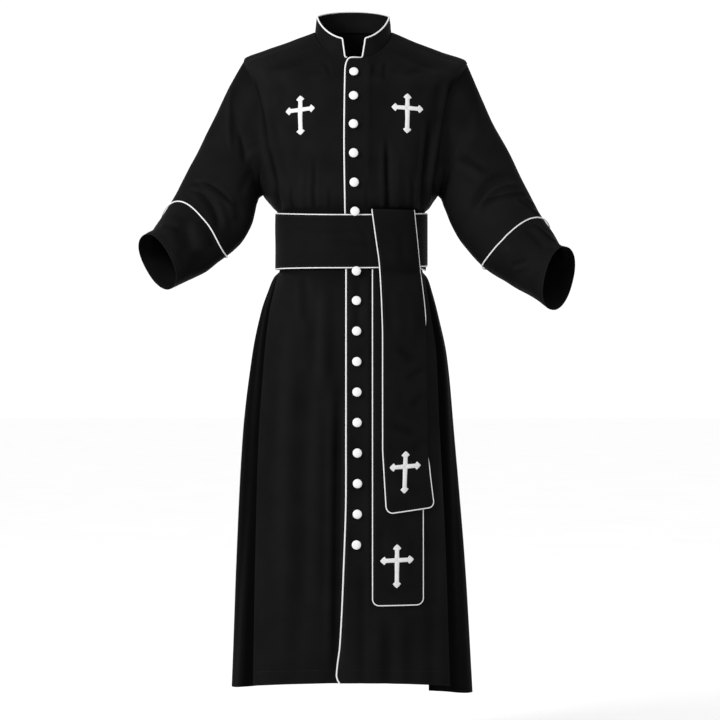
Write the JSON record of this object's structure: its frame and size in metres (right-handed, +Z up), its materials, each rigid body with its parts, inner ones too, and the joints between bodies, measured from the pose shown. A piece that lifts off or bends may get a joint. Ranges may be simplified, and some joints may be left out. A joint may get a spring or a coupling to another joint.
{
  "type": "cassock",
  "caption": "Ankle-length black clerical cassock, worn and hollow, with stand collar, turned cuffs, a piped sash with two hanging tails, white buttons and embroidered crosses.",
  "frame": {"origin": "middle of the base of the wearer's neck, level with the side of the neckline, where the shoulders hold the garment", "axes": "+Z up, the wearer faces -Y, the wearer's left hand is at +X"},
  "size_m": [0.8919, 0.4298, 1.4444],
  "materials": {
    "black_suiting": "matte twill",
    "black_sash_cloth": "matte twill, interfaced",
    "white_piping": "satin cord",
    "white_covered_button": "satin-covered shank button",
    "white_embroidery": "satin stitch"
  },
  "bodies": {
    "root": {"front_right": "black_suiting", "front_left": "black_suiting", "back": "black_suiting", "gore_left": "black_suiting", "gore_right": "black_suiting", "collar": "black_suiting", "sleeve_left": "black_suiting", "sleeve_right": "black_suiting", "cuff_left": "black_suiting", "cuff_right": "black_suiting", "sash_band": "black_sash_cloth", "sash_inner_wrap": "black_sash_cloth", "sash_tail_upper": "black_sash_cloth", "sash_tail_lower": "black_sash_cloth", "piping_edge": "white_piping", "piping_cuff_left": "white_piping", "piping_cuff_right": "white_piping", "piping_band_top": "white_piping", "piping_band_bottom": "white_piping", "piping_tail_upper": "white_piping", "piping_tail_lower": "white_piping", "piping_inner_wrap": "white_piping", "button_01": "white_covered_button", "button_02": "white_covered_button", "button_03": "white_covered_button", "button_04": "white_covered_button", "button_05": "white_covered_button", "button_06": "white_covered_button", "button_07": "white_covered_button", "button_08": "white_covered_button", "button_09": "white_covered_button", "button_10": "white_covered_button", "button_11": "white_covered_button", "button_12": "white_covered_button", "button_13": "white_covered_button", "button_14": "white_covered_button", "button_15": "white_covered_button", "button_16": "white_covered_button", "cross_chest_right": "white_embroidery", "cross_chest_left": "white_embroidery", "cross_tail_upper": "white_embroidery", "cross_tail_lower": "white_embroidery"}
  },
  "joints": []
}
